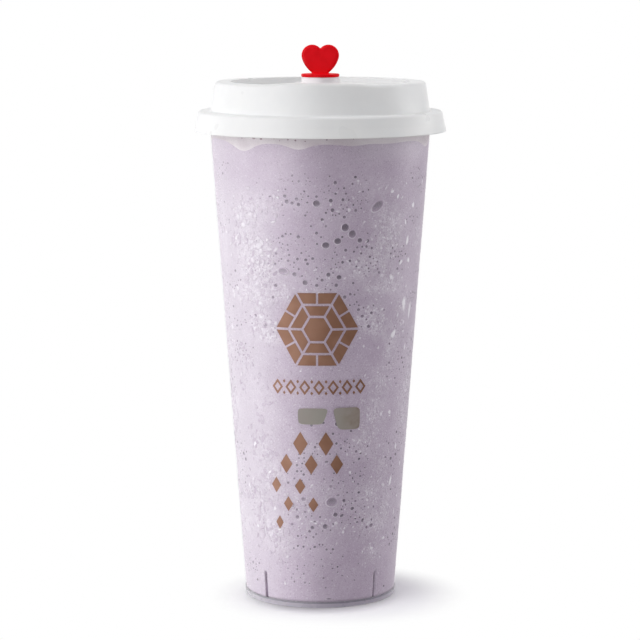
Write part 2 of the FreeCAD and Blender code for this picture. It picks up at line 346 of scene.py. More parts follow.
# Painted light and shade on the drink, as slow changes of its tone: painted shade at the top under the lid,
# darker towards the bottom, and painted light on the lit left, on the right and at the top right, where it
# takes back the top's shade: strength, heights in mm from and to, and angles from the front in degrees at
# which it starts, is full, starts to fade and is gone
paintedLightTones = [
    (-0.16, (150, 168), None), (-0.14, (30, 12), None), (0.27, None, (-5, -48, -110, -150)),
    (0.065, None, (2, 16, 90, 120)), (0.34, (160, 174), (2, 25, 60, 100))
]

# Foam at the wall: angle from the front and height in mm, reach in degrees and in mm, strength
foamPatches = [
    (-45, 150, 12, 6, .55), (-30, 154, 10, 5, .35), (-50, 139, 10, 5, .5), (-38, 137, 9, 5, .75),
    (-42, 128, 12, 6, .6), (-30, 131, 9, 6, .45), (-45, 119.5, 12, 3, .9), (-27, 121, 9, 3.5, .6),
    (-38, 109, 8, 4.5, .95), (-31, 104.5, 6, 3, .8), (-50, 95, 12, 8, .3), (-40, 78, 12, 9, .25),
    (-44, 62, 10, 7, .45), (-34, 50, 10, 7, .55), (-48, 42, 9, 6, .5), (-38, 30, 12, 6, .6),
    (-30, 24, 9, 4, .45), (38, 149, 10, 5, .5), (30, 160, 9, 4, .3), (42, 142, 9, 6, .7),
    (36, 136, 10, 4, .5), (28, 131, 10, 4, .6), (44, 124, 9, 4, .75), (31, 122, 7, 2.5, .5),
    (30, 111, 9, 4.5, .85), (36, 107, 6, 3, .7), (48, 100, 6, 7, .6), (58, 112, 6, 8, .4),
    (40, 86, 8, 6, .4), (36, 74, 9, 6, .6), (30, 64, 8, 5, .5), (46, 56, 9, 7, .4), (34, 44, 11, 5, .5),
    (38, 32, 10, 4, .65), (52, 36, 8, 8, .5), (42, 21, 9, 4, .45), (8, 128, 16, 4, .35),
    (-5, 122, 12, 3, .3), (6, 45, 14, 6, .25), (-14, 40, 9, 6, .35), (0, 31, 16, 5, .2),
    (-8, 60, 10, 5, .25), (12, 152, 10, 6, .2)
]


def foamAt(angle, height):
    # sum of Gaussian hills, one at each patch, in degrees round the cup and mm up it, capped at 1
    foam = np.zeros(np.broadcast(angle, height).shape)
    for middle, level, wide, tall, strength in foamPatches + foamElsewhere:
        away = (angle - middle + 180) % 360 - 180
        foam = foam + strength * np.exp(-(away / wide) ** 2 - ((height - level) / tall) ** 2)
    return np.minimum(foam, 1)


def seededPatches():
    # sides and back: the same kind of patches in uneven rows, from a fixed seed
    seed = np.random.default_rng(11)
    ranges = [(66, 294), (18, 156), (4, 14), (2.5, 8), (0.1, 0.6)]
    columns = [seed.uniform(low, high, 150) for low, high in ranges]
    return [tuple(row) for row in np.stack(columns, axis=-1).tolist()]


foamElsewhere = seededPatches()


def frothLine(x, y):
    # mean depth below the froth's top, slow sine ripples, and a Gaussian bulge at each place on the wall
    mean = drink["frothTop"] - drink["frothDepth"]
    turn = 2 * np.pi / drink["rippleLength"]
    height = mean + drink["ripple"] * np.sin(turn * x) * np.cos(turn * y)
    wall = innerRadius(mean)
    for angle, depth, reach in drink["bulges"]:
        across = x - wall * math.sin(math.radians(angle))
        along = y + wall * math.cos(math.radians(angle))
        height = height - depth * mm * np.exp(-(across ** 2 + along ** 2) / (reach * mm) ** 2)
    return height


def ribShare(angle):
    # 1 across a rib of the cup and 0 away from it, for the angle of each column
    pitch = 2 * np.pi / cupShape["ribCount"]
    away = np.abs((angle % pitch) - pitch / 2) * innerRadius(drink["floorTop"])
    half = cupShape["ribWidth"] / 2
    return 1 - smoothStep(half, half + 0.25 * mm, away)


def drinkColumns():
    # evenly spaced angles, with a few more beside each rib so that its slot has straight sides
    even = fullTurn(drink["columns"])
    pitch = 2 * np.pi / cupShape["ribCount"]
    half = cupShape["ribWidth"] / 2 / innerRadius(drink["floorTop"])
    beside = np.array([-1.7, -1.05, -0.5, 0.5, 1.05, 1.7]) * half
    ribs = ((np.arange(cupShape["ribCount"]) + 0.5) * pitch)[:, None] + beside
    return np.unique(np.round(np.concatenate([even, ribs.ravel()]), 6))


def fromFront(angle):
    # the angle in degrees from the front, -180 to 180
    return (np.degrees(angle) + 180) % 360 - 180


def wallLine(angle):
    # the froth line's height at the wall
    return frothLine(*(innerRadius(drink["lineLevel"]) * np.stack([np.sin(angle), -np.cos(angle)])))


def standing(radius, angle, height):
    # radius, angle from the front and height as places in space
    return np.stack([radius * np.sin(angle), -radius * np.cos(angle), height], axis=-1)


def between(angle, start, full, fade, gone):
    # rises smoothly from start to full, and falls from fade to gone
    return smoothStep(start, full, angle) * smoothStep(gone, fade, angle)


def paintedLightTone(angle, height):
    # sum of the strengths, each times its smooth steps in height and in angle
    degrees = fromFront(angle)
    total = np.zeros_like(height)
    for strength, levels, sides in paintedLightTones:
        if levels:
            strength = strength * smoothStep(levels[0] * mm, levels[1] * mm, height)
        if sides:
            strength = strength * between(degrees, *sides)
        total = total + strength
    return total


def wallRings(height, angle):
    # rings a little way into the cup's wall
    return np.broadcast_arrays(innerRadius(height) + drink["reach"], height, angle)


def lineRings(line, share, angle):
    # rings over the froth line's surface, at shares of the way from the middle to the wall
    radius = (innerRadius(line) + drink["reach"]) * share[:, None]
    return np.broadcast_arrays(radius, frothLine(radius * np.sin(angle), -radius * np.cos(angle)), angle)


def smoothieRings():
    # rings out across the floor, round its corner, up the wall to the froth line and in across the top
    angle = drinkColumns()[None, :]
    low = drink["floorTop"] - drink["floorReach"]
    corner = drink["cornerRadius"]
    wall = innerRadius(drink["floorTop"]) + drink["reach"]
    turn = np.linspace(0, np.pi / 2, 5)[:, None]
    floorRadius = np.array([0.2, 0.5, 0.8])[:, None] * (wall - corner)
    floorRings = np.broadcast_arrays(floorRadius, low, angle)
    cornerRings = np.broadcast_arrays(wall - corner + corner * np.sin(turn),
                                      low + corner - corner * np.cos(turn), angle)
    line = wallLine(angle)
    share = np.append(np.linspace(0, 1, drink["wallRows"])[1:-1], [0.9999, 1])[:, None]
    sideRings = wallRings(low + corner + (line - low - corner) * share, angle)
    topRings = lineRings(line, drink["lineShares"][::-1], angle)
    radius, height, angles = [np.concatenate(part) for part in
                              zip(floorRings, cornerRings, sideRings, topRings)]
    ribTop, fade = cupShape["ribTop"], cupShape["ribFade"]
    slot = ribShare(angles) * (1 - smoothStep(ribTop - fade, ribTop + fade, height))
    inset = slot * (cupShape["ribDepth"] + 2 * drink["reach"])
    radius = np.maximum(radius - np.where(radius > wall * 0.9, inset, 0), 0)
    floorShadeLine = 1 - smoothStep(drink["floorTop"] + 0.05 * mm, drink["floorTop"] + 0.3 * mm, height)
    # painted shade in the rib slots and along the floor's edge; elsewhere the slow painted light and shade
    # listed above
    slotAndFloorShade = np.minimum(drink["ribSlotShade"] * slot, drink["floorLineShade"] * floorShadeLine)
    tones = np.where(slot + floorShadeLine > 0.01, slotAndFloorShade, paintedLightTone(angles, height))
    foam = foamAt(np.degrees(angles), height / mm)
    return standing(radius, angles, height), tones, foam


def frothRings():
    # the froth line's rings from the middle out, up the wall, and back in across the froth's top
    angle = drinkColumns()[None, :]
    line = wallLine(angle)
    under = lineRings(line, drink["lineShares"], angle)
    rise = np.concatenate([[0, 0.004], np.linspace(0.04, 0.96, 24), [0.996, 1]])[:, None]
    wall = wallRings(line + (drink["frothTop"] - line) * rise, angle)
    topRadius = innerRadius(drink["frothTop"]) * np.linspace(0.97, 0.06, 26)[:, None]
    sway = 0.25 * mm * np.sin(9 * angle + topRadius / mm) * np.sin(topRadius / mm * 0.7)
    top = np.broadcast_arrays(topRadius, drink["frothTop"] - 0.3 * mm + sway, angle)
    radius, height, angles = [np.concatenate(part) for part in zip(under, wall, top)]
    below = drink["frothTop"] - drink["frothDepth"] - line
    edge = 1 - smoothStep(0, drink["edgeWidth"], height - line)
    # painted light makes the froth paler on its right side
    rightLight, right = drink["frothRightLight"]
    tones = np.maximum(drink["edgeTone"] * edge * smoothStep(0.4 * mm, 2.4 * mm, below),
                       rightLight * between(fromFront(angles), *right))
    return standing(radius, angles, height), tones


rings, bodyTones, bodyFoam = smoothieRings()
smoothieBody = turnedPiece("smoothieBody", rings, smoothieSurface, "smoothie",
                           tone=bodyTones, foam=bodyFoam)
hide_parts("smoothie")
rings, frothTones = frothRings()
frothBody = turnedPiece("frothBody", rings, frothSurface, "froth", tone=frothTones)
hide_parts("froth")
print("drink and froth made:", len(smoothieBody.data.vertices), len(frothBody.data.vertices), "vertices")

# Bubbles at the wall: each is a shallow dish with a painted highlight on its raised rim and painted shade in
# its hollow
random = np.random.default_rng(7)
bubbleShape = {
    "rings": np.array([0.0, 0.45, 0.72, 0.86, 0.96, 1.08]),  # share of the bubble's half width
    "lift": np.array([0.25, 0.30, 0.55, 0.95, 1.0, -0.6]),  # share of its rim's height
    # tone of each ring: painted shade below 0, painted highlight above 0
    "tone": np.array([-1.0, -1.0, -0.85, -0.25, 0.8, 0.0]),
    "rimHeight": 0.11,  # share of its half width
    "highestRim": 0.28 * mm,
    # painted shade in the hollow is darker in its upper half and the painted highlight on the rim paler in
    # its lower half: an even part, and a part times the sine of the place on the ring
    "hollowShade": (0.95, 0.2),
    "rimHighlight": (0.62, -0.38),
    "growth": 1.42,  # of the listed sizes
    "crowding": 1.9,  # of the listed counts
    "crowdShape": 0.55,  # spread of the random places over the listed reach
    "smallSize": (0.285, 0.42),  # middle and spread of the half width, mm
    "smallRange": (0.13, 0.9),
    "tinySize": 0.34,  # below it a bubble is a tiny one
    "squash": (0.82, 1.0),  # half height over half width
    "darkness": (0.55, 1.0),
    "levels": (8, 168),  # lowest and highest small bubble, mm
    "gap": 1.25,  # least distance over the two half widths
    "paler": (0.35, 0.5, 0.4),  # less painted shade in tiny ones, in those on the lit left, and in those low on the left
}
# Bubbles that stand out at the front: angle, height, half width and half height in mm, tilt, darkness of the
# painted shade
largeBubbles = [
    (-2, 154.5, 1.1, 1, 0, 1), (5.5, 155.5, .65, .6, 0, 1), (6.5, 152, .65, .6, 0, 1),
    (-2, 157, .45, .45, 0, .9), (8, 158, .45, .4, 0, .9), (13.5, 158, .4, .4, 0, .8),
    (12.5, 160, .4, .4, 0, .9), (18.5, 164, .5, .45, 0, .9), (17, 161.5, .4, .4, 0, .8),
    (-19, 157, .6, .55, 0, .8), (-18, 155, .7, .65, 0, .7), (-15, 154.5, .6, .55, 0, .7),
    (-12.5, 156, .65, .6, 0, .75), (-11.5, 154, .6, .6, 0, .9), (-27.5, 156.5, .5, .45, 0, .6),
    (-8, 150, .4, .4, 0, .9), (3, 151, .4, .4, 0, .9), (1, 148.5, .5, .5, 0, 1),
    (-5, 146, .4, .35, 0, .9), (3, 146, .4, .4, 0, .7), (-2, 143.5, .5, .5, 0, 1),
    (-19, 143, .4, .4, 0, .8), (-12, 142, .6, .55, 0, .9), (12, 142, .4, .4, 0, .9),
    (13.5, 145.5, 1.15, 1.2, 0, 1), (17.5, 143, 1.2, 1.2, 0, .72), (22, 140.5, .8, .75, 0, .8),
    (9.5, 140.5, 1.1, .95, 0, 1), (3, 139, 1.15, .95, 0, 1), (14, 137, .55, .5, 0, .85),
    (16.5, 133, .45, .4, 0, 1), (32, 153, 2.3, 1.3, 35, .56), (-21, 129, 1.6, 1.05, -8, .52),
    (-26, 128, 1, .55, 40, .4), (-25, 135.5, .5, .45, 0, .6), (-18, 133, .45, .45, 0, .7),
    (-8, 133.5, .55, .5, 0, .9), (-7, 132, .5, .5, 0, .9), (-14.5, 128, .75, .7, 0, .7),
    (-12, 130, .4, .4, 0, .8), (-8.5, 125, .85, .8, 0, .85), (-2, 124, .55, .5, 0, .9),
    (1, 126, .5, .5, 0, .9), (4.5, 128, .65, .65, 0, 1), (10.5, 127, .8, .7, 0, 1),
    (9, 124, .6, .6, 0, .8), (-26, 123.5, .6, .55, 0, .7), (-28, 119, .45, .45, 0, .7),
    (14, 119.5, .65, .6, 0, .7), (22.5, 114.5, .55, .5, 0, .7), (25, 112, .6, .5, 0, .7),
    (31, 113, .5, .45, 0, .8), (29.5, 108, .6, .6, 0, .8), (35, 128, .5, .5, 0, .6),
    (-34, 108, .75, .8, 0, .5), (-41, 111.5, .6, .5, 0, .6), (-5.5, 71, .45, .45, 0, .8),
    (2, 72, .45, .45, 0, .9), (11, 71.5, .9, .75, 0, .8), (20, 68.5, .45, .4, 0, .8),
    (10.5, 64, .45, .45, 0, .9), (13.5, 62, .4, .4, 0, .8), (2.5, 61.5, .4, .4, 0, .8),
    (24, 60.5, .5, .45, 0, .7), (-15.5, 55.5, .45, .45, 0, .8), (-11, 52, .45, .45, 0, .8),
    (-22, 48.5, .45, .45, 0, .8), (4, 57, .65, .45, 10, .6), (7, 47.5, .55, .5, 0, .5),
    (12, 44, .6, .35, 12, .6), (27, 44.5, .45, .4, 0, .9), (-11.5, 42.5, .7, .65, 0, .7),
    (-19.5, 40, .75, .7, 0, .8), (8, 41.5, 1.75, 1.4, 8, .6), (-16, 35.5, .6, .6, 0, .7),
    (-10.5, 37.5, .45, .45, 0, .7), (-20, 32.5, .5, .5, 0, .6), (-5.5, 31.5, .65, .6, 0, .9),
    (-7.5, 30, .5, .45, 0, .8), (3.5, 32, .85, .8, 0, .8), (10.5, 36.5, .75, .7, 0, .9),
    (15, 36, .75, .45, 35, .8), (22.5, 38.5, .65, .55, 30, .9), (-16, 28, .4, .4, 0, .8),
    (-12, 24, .4, .4, 0, .9), (-4, 24, .5, .4, 30, .9), (4.5, 23, .4, .4, 0, .8), (9, 23, .4, .4, 0, .9),
    (38.5, 31, .75, .6, 30, .6), (31, 33.5, .5, .7, -20, .8), (34.5, 30.5, .45, .5, 0, .7),
    (9, 15.5, .35, .3, 0, .8), (4, 8, .35, .3, 0, .8), (57, 5.5, .5, .35, 0, .9), (6.5, 3.6, .9, .3, 0, .7)
]
# Open bubbles in the froth, with the same six numbers
frothBubbles = [
    (-36, 177.9, 1, .6, 0, .8), (-31.5, 177.7, .75, .5, 0, .8), (-28, 178.3, .4, .3, 0, .6),
    (-16.5, 177.8, .45, .4, 0, .9), (-12.6, 177.5, .5, .45, 0, .9), (-7.6, 177.2, .4, .3, 0, .8),
    (3.3, 177.8, .45, .35, 0, .8), (-21, 177.3, .3, .3, 0, .7), (9, 178.2, .3, .25, 0, .6),
    (-1, 178.3, .25, .2, 0, .7), (17, 178, .3, .25, 0, .6), (24, 178.4, .35, .25, 0, .5),
    (33, 178.1, .3, .25, 0, .5), (-24, 178, .3, .25, 0, .7), (-44, 177.6, .5, .4, 0, .5),
    (64, 178, .4, .3, 0, .6), (83, 177.6, .5, .4, 0, .6), (101, 178.1, .4, .3, 0, .5),
    (129, 177.8, .6, .4, 0, .7), (148, 177.5, .7, .45, 0, .7), (171, 178, .4, .3, 0, .6),
    (-166, 177.7, .5, .4, 0, .6), (-141, 178.2, .4, .3, 0, .5), (-118, 177.6, .7, .45, 0, .7),
    (-96, 178, .4, .3, 0, .6), (-72, 177.8, .5, .35, 0, .6)
]
# Crowds of small ones: angle, height, spread in degrees and in mm, how many
bubbleCrowds = [
    (-14, 156, 13, 5, 40), (8, 156, 13, 6, 60), (22, 153, 9, 4, 45), (-8, 163, 22, 4, 20),
    (-22, 140, 9, 4, 35), (-25, 132, 9, 5, 45), (-14, 134, 9, 5, 35), (4, 126, 12, 3, 45),
    (-4, 137, 10, 5, 20), (24, 139, 7, 4, 45), (29, 131, 7, 3, 60), (12, 133, 9, 5, 25),
    (-34, 128, 9, 6, 30), (-36, 110, 8, 4, 45), (30, 111, 8, 4, 45), (20, 118, 7, 4, 25),
    (-2, 60, 13, 5, 45), (12, 63, 10, 4, 25), (-12, 52, 9, 5, 40), (6, 48, 9, 3, 25), (14, 42, 9, 3, 40),
    (26, 38, 8, 4, 40), (33, 32, 7, 3, 70), (14, 36, 10, 3, 40), (-12, 38, 9, 4, 30), (-2, 30, 12, 3, 30),
    (-14, 24, 6, 1.5, 18), (2, 24, 8, 1.5, 14), (6, 14, 22, 6, 40), (-22, 15, 14, 6, 20),
    (28, 60, 8, 6, 25), (24, 50, 9, 4, 25)
]

# Crowds round the sides and the back, which the list above leaves out
crowdsElsewhere = {
    "angles": np.arange(58, 302, 20),
    "heights": np.arange(20, 165, 18),
    "filled": 0.72,  # share of these places that hold a crowd
    # shift in degrees and in mm, spread in degrees and in mm, and how many
    "ranges": [(-9, 9), (-8, 8), (6, 14), (3, 7), (10, 55)],
}


def moundFaces(count, rows, segments):
    # each mound: a fan round its middle, quads between its rings, and a fan that closes its underside
    here = np.arange(segments)
    there = (here + 1) % segments
    last = 1 + rows * segments
    top = np.stack([np.zeros(segments, int), 1 + here, 1 + there], axis=-1)
    under = np.stack([np.full(segments, last), last - segments + there, last - segments + here], axis=-1)
    inside = 1 + np.arange(rows - 1)[:, None] * segments
    quads = np.stack([inside + here, inside + segments + here, inside + segments + there,
                      inside + there], axis=-1).reshape(-1, 4)
    base = (np.arange(count) * (last + 1))[:, None, None]
    return [(np.concatenate([top, under])[None] + base).reshape(-1, 3), (quads[None] + base).reshape(-1, 4)]


def moundVertices(angle, height, wide, tall, tilt, lift, middleLift, belowLift):
    # wide and tall are grids (mounds, rings, segments) of places round each mound's middle; they are turned
    # by its tilt, laid on the cone and raised by lift; then come its middle and the middle of its underside
    cosTilt = np.cos(tilt)[:, None, None]
    sinTilt = np.sin(tilt)[:, None, None]
    z = height[:, None, None] + wide * sinTilt + tall * cosTilt
    turn = angle[:, None, None] + (wide * cosTilt - tall * sinTilt) / outerRadius(z)
    circles = onCone(turn, z, drink["reach"] + lift).reshape(len(angle), -1, 3)
    middle = onCone(angle, height, drink["reach"] + middleLift)[:, None]
    below = onCone(angle, height, drink["reach"] + belowLift)[:, None]
    return np.concatenate([middle, circles, below], axis=1).reshape(-1, 3)


def bubbleMesh(angle, height, halfWidth, halfHeight, tilt, darkness, segments):
    # an ellipse of segments at each share of the half sizes, each with its own lift and tone
    shape = bubbleShape
    share = shape["rings"][None, 1:, None]
    swing = fullTurn(segments)
    wide = halfWidth[:, None, None] * share * np.cos(swing)
    tall = halfHeight[:, None, None] * share * np.sin(swing)
    rim = np.minimum(np.minimum(halfWidth, halfHeight) * shape["rimHeight"], shape["highestRim"])
    lift = rim[:, None, None] * shape["lift"][None, 1:, None]
    vertices = moundVertices(angle, height, wide, tall, tilt, lift,
                             rim * shape["lift"][0], rim * shape["lift"][-1])
    # painted shade, darker in the upper half of the hollow, and a painted highlight, paler on the lower half
    # of the rim
    upness = np.sin(swing + tilt[:, None, None])
    ringTone = shape["tone"][None, 1:, None] + 0 * upness
    hollow = darkness[:, None, None] * (shape["hollowShade"][0] + shape["hollowShade"][1] * upness)
    rimShine = shape["rimHighlight"][0] + shape["rimHighlight"][1] * upness
    ringTone = np.where(ringTone < 0, ringTone * hollow, ringTone * rimShine).reshape(len(angle), -1)
    tones = np.concatenate([shape["tone"][0] * darkness[:, None], ringTone, 0 * darkness[:, None]], axis=1)
    return vertices, moundFaces(len(angle), len(shape["rings"]) - 1, segments), tones


def randomSizes(middle, spreadSize, limits, count):
    # half sizes in mm whose logarithm is normally distributed, kept within limits
    return np.clip(np.exp(random.normal(np.log(middle), spreadSize, count)), *limits)


def scatterCrowds(crowds):
    # normally distributed places round the middle of each crowd
    parts = []
    for angle, height, spreadAngle, spreadHeight, count in crowds:
        offset = random.normal(0, bubbleShape["crowdShape"], (int(count * bubbleShape["crowding"]), 2))
        parts.append([angle, height] + offset * [spreadAngle, spreadHeight])
    return np.concatenate(parts)


def elsewhereCrowds():
    # a crowd at most of the places, shifted and sized at random
    crowds = []
    for angle in crowdsElsewhere["angles"]:
        for height in crowdsElsewhere["heights"]:
            if random.random() < crowdsElsewhere["filled"]:
                draws = [random.uniform(low, high) for low, high in crowdsElsewhere["ranges"]]
                crowds.append((angle + draws[0], height + draws[1], draws[2], draws[3], int(draws[4])))
    return crowds


def farApart(places, half, fixedPlaces, fixedHalf, gap):
    # True for a place that clears all fixed ones and all larger ones before it: the distance in mm over
    # the wall is more than gap times the two half widths together
    order = np.argsort(-half)
    across = np.radians(np.concatenate([fixedPlaces[:, 0], places[order, 0]]))
    up = np.concatenate([fixedPlaces[:, 1], places[order, 1]])
    reach = np.concatenate([fixedHalf, half[order]])
    first = len(fixedHalf)
    apartAcross = (across[first:, None] - across[None, :] + np.pi) % (2 * np.pi) - np.pi
    radius = outerRadius(up[first:, None] * mm) / mm
    distance = np.hypot(apartAcross * radius, up[first:, None] - up[None, :])
    close = distance < gap * (reach[first:, None] + reach[None, :])
    close &= np.arange(len(up))[None, :] < np.arange(first, len(up))[:, None]
    clear = np.ones(len(places), bool)
    clear[order] = ~close.any(axis=1)
    return clear


def addBubbles(name, rows, segments, material, slot):
    # rows (n, 6): angle and tilt in degrees, height and half sizes in mm, as in the lists above
    angle, height, halfWidth, halfHeight, tilt, darkness = np.asarray(rows, float).T
    vertices, faces, tones = bubbleMesh(np.radians(angle), height * mm, halfWidth * mm, halfHeight * mm,
                                        np.radians(tilt), darkness, segments)
    meshPiece(name, vertices, faces, material, slot, tone=tones)
    print(name, "has", len(rows), "bubbles")


def onLeft(angle):
    # 0 at the front's middle and at the back, 1 on the left, in degrees from the front
    return between(angle, -14, -32, -95, -120)


def makeBubbles():
    # the listed ones as they are; of the scattered ones only those that clear them and each other
    shape = bubbleShape
    growth = shape["growth"]
    large = np.array(largeBubbles, float) * [1, 1, growth, growth, 1, 1]
    places = scatterCrowds(bubbleCrowds + elsewhereCrowds())
    lowest, highest = shape["levels"]
    places = places[(places[:, 1] > lowest) & (places[:, 1] < highest)]
    half = randomSizes(*shape["smallSize"], shape["smallRange"], len(places))
    keep = farApart(places, half, large, large[:, 2], shape["gap"])
    places, half = places[keep], half[keep]
    squash = random.uniform(*shape["squash"], len(half))
    tilt = random.uniform(0, 180, len(half))
    darkness = random.uniform(*shape["darkness"], len(half))
    tiny = half < shape["tinySize"]
    ofTiny, ofLeft, ofLowLeft = shape["paler"]
    darkness *= 1 - ofTiny * tiny - ofLeft * smoothStep(-18, -34, places[:, 0]) * (places[:, 0] > -120)
    darkness *= 1 - ofLowLeft * onLeft(places[:, 0]) * smoothStep(110, 80, places[:, 1])
    rows = np.stack([places[:, 0], places[:, 1], half, half * squash, tilt, darkness], axis=-1)
    addBubbles("largeBubbles", large, 20, smoothieSurface, "smoothie")
    addBubbles("bubbles", rows[~tiny], 10, smoothieSurface, "smoothie")
    addBubbles("tinyBubbles", rows[tiny], 8, smoothieSurface, "smoothie")
    addBubbles("frothBubbles", frothBubbles, 16, frothSurface, "froth")


makeBubbles()

# Pale flecks of ice and foam pressed against the wall
fleckLook = {
    "count": 4000,  # at most this many in the front piece and in the back piece
    "tries": 40000,
    "levels": (8, 164),  # lowest and highest, mm
    "foamPower": 1.3,  # of the foam's density, to crowd them in its middle
    "evenDensity": 0.006,  # of those outside the foam
    "leftThinning": 0.6,  # at the left they are fewer and larger
    "leftGrowth": 1.0,
    "lowLeftCalm": 0.45,  # and low on the left less bright
    "rings": np.array([0.0, 0.5, 0.8, 1.0]),
    "lift": np.array([0.09, 0.08, 0.05, -0.05]) * mm,
    "tone": np.array([1.0, 0.95, 0.6, 0.0]),
    "size": (0.40, 0.45),  # middle and spread of the half length, mm
    "sizeRange": (0.15, 1.2),
    "slim": (0.45, 0.95),  # half width over half length
    "tilt": (-0.5, 0.7),  # middle and spread, radians
    "paleness": (0.12, 0.66),
    "bright": 230,  # how many of them are large, slim and bright
    "brightSize": (0.45, 0.85),
    "brightSlim": 0.7,
    "brightPaleness": (0.4, 0.74),
    "bubbleClearance": 1.6,  # times the half width of a large bubble
}
# Larger ones, most of them near the right and left edges: angle, height, half width and half height in
# mm, tilt, paleness
largeFlecks = [
    (61, 152, .9, 1.5, 0, .8), (72, 160, .8, 1.3, 0, .7), (57, 139, 1.1, 2.1, -15, .8),
    (52, 131, 1.4, .8, 30, .8), (58, 115, 1.7, 3, -12, .8), (49, 104, 1.5, 1.9, -25, .8),
    (46, 156, .6, 1, -35, .9), (42, 158, .5, .7, -20, .9), (54, 146, .6, 1.1, 20, .8),
    (44, 126, .9, 1.1, 0, .8), (63, 98, .8, 1.8, 0, .6), (60, 60, .8, 1.8, 5, .6),
    (56, 47, .9, 2.2, -8, .75), (64, 34, .7, 1.6, 0, .6), (50, 74, .8, 1.2, 30, .7),
    (40, 22, 1.2, .6, 0, .7), (52, 25, 1, .7, -10, .7), (-60, 118, .9, 1.4, 0, .6),
    (-54, 140, 1.1, .8, 30, .7), (-48, 62, .8, 1.2, -25, .8), (-57, 45, .9, 1.3, 0, .6),
    (-36, 52, 1.2, .6, 40, .8), (-50, 30, .8, .8, 0, .8), (-30, 30, .9, .5, 35, .8),
    (-58, 88, .7, 1.3, 0, .5), (-33, 38, .6, 1.1, -20, .7), (-27, 9, .5, .7, 0, .6),
    (37, 159.5, .35, .9, -30, .7), (41, 158, .4, .9, -35, .75), (49.5, 155.4, .4, .9, -40, .65),
    (41, 147.8, .5, .6, -20, .6), (43.7, 145.4, .9, .5, 30, .6), (48, 149, .8, .4, 40, .5),
    (37.6, 141, .8, .45, -20, .65), (42.5, 140.3, .45, .5, 0, .7), (47.5, 137.8, .8, .45, 25, .6),
    (59.7, 131.3, 1.3, .9, -30, .75), (45, 125.5, 1, .7, -20, .7), (54, 125.1, .5, .7, -10, .7),
    (59, 121.5, .5, .9, -20, .65), (47, 120.5, .5, .4, 0, .65), (66, 112, 1.4, 3.4, -8, .7),
    (38.5, 114, .9, .6, 20, .7), (45.7, 116, .5, .4, 0, .6), (52, 111, .6, .9, -20, .65),
    (59, 107.8, .6, 1, -15, .6), (34, 118, .7, .4, -35, .6), (29, 121, .6, .35, 20, .55),
    (-52, 133, 1.3, .9, 20, .5), (-44, 131, 1.2, .8, -30, .6), (-38, 124, .9, .7, 0, .5),
    (-47, 122, 1.5, .8, 10, .5), (-40, 54, .9, .7, -20, .55), (-52, 48, 1.1, .8, 20, .5),
    (-44, 40, .9, .9, 0, .5)
]


def fleckMesh(angle, height, halfWidth, halfHeight, tilt, paleness, segments, wobble):
    # a low mound with an uneven outline: each ring is an ellipse whose radius is multiplied by
    # 1 + wobble * (two sine waves of the swing with random phases)
    look = fleckLook
    share = look["rings"][None, 1:, None]
    swing = fullTurn(segments)
    phase = random.uniform(0, 2 * np.pi, (2, len(angle), 1, 1))
    uneven = 1 + wobble * (0.6 * np.sin(2 * swing + phase[0]) + 0.4 * np.sin(3 * swing + phase[1]))
    wide = halfWidth[:, None, None] * share * uneven * np.cos(swing)
    tall = halfHeight[:, None, None] * share * uneven * np.sin(swing)
    vertices = moundVertices(angle, height, wide, tall, tilt, look["lift"][None, 1:, None],
                             look["lift"][0], look["lift"][-1])
    tones = np.concatenate([[look["tone"][0]], np.repeat(look["tone"][1:], segments), [0]])[None, :]
    faces = moundFaces(len(angle), len(look["rings"]) - 1, segments)
    return vertices, faces, tones * paleness[:, None]


def addFlecks(name, rows, segments, wobble):
    # rows (n, 6): angle and tilt in radians, height and half sizes in metres
    vertices, faces, tones = fleckMesh(*rows.T, segments, wobble)
    meshPiece(name, vertices, faces, smoothieSurface, "smoothie", tone=tones)
    print(name, "has", len(rows), "flecks")


def scatterFlecks(first, last):
    # places come from many tries, kept where a random number is below the foam's density there, and where
    # they clear the large bubbles
    look = fleckLook
    angle = random.uniform(first, last, look["tries"])
    height = random.uniform(*look["levels"], look["tries"])
    density = foamAt(angle, height) ** look["foamPower"] + look["evenDensity"]
    density = density * (1 - look["leftThinning"] * onLeft(angle))
    chosen = np.flatnonzero(random.random(look["tries"]) < density)[:look["count"]]
    large = np.array(largeBubbles, float)
    places = np.stack([angle[chosen], height[chosen]], axis=-1)
    reach = large[:, 2] * look["bubbleClearance"]
    chosen = chosen[farApart(places, np.full(len(places), 0.01), large, reach, 1.0)]
    left = onLeft(angle[chosen])
    calm = 1 - look["lowLeftCalm"] * left * smoothStep(115, 85, height[chosen])
    count = len(chosen)
    half = (1 + look["leftGrowth"] * left) * randomSizes(*look["size"], look["sizeRange"], count) * mm
    slim = random.uniform(*look["slim"], count)
    tilt = random.normal(*look["tilt"], count)
    paleness = random.uniform(*look["paleness"], count)
    bright = look["bright"]
    half[:bright] = random.uniform(*look["brightSize"], bright) * mm
    slim[:bright] *= look["brightSlim"]
    paleness[:bright] = random.uniform(*look["brightPaleness"], bright)
    return np.stack([np.radians(angle[chosen]), height[chosen] * mm, half * slim, half, tilt,
                     paleness * calm], axis=-1)


def makeFlecks():
    # front and back by chance, and the listed large ones with a rounder outline
    addFlecks("flecksFront", scatterFlecks(-90, 90), 8, 0.3)
    addFlecks("flecksBack", scatterFlecks(90, 270), 8, 0.3)
    turn = math.radians(1)
    addFlecks("largeFlecks", np.array(largeFlecks) * [turn, mm, mm, mm, turn, 1], 24, 0.25)


makeFlecks()

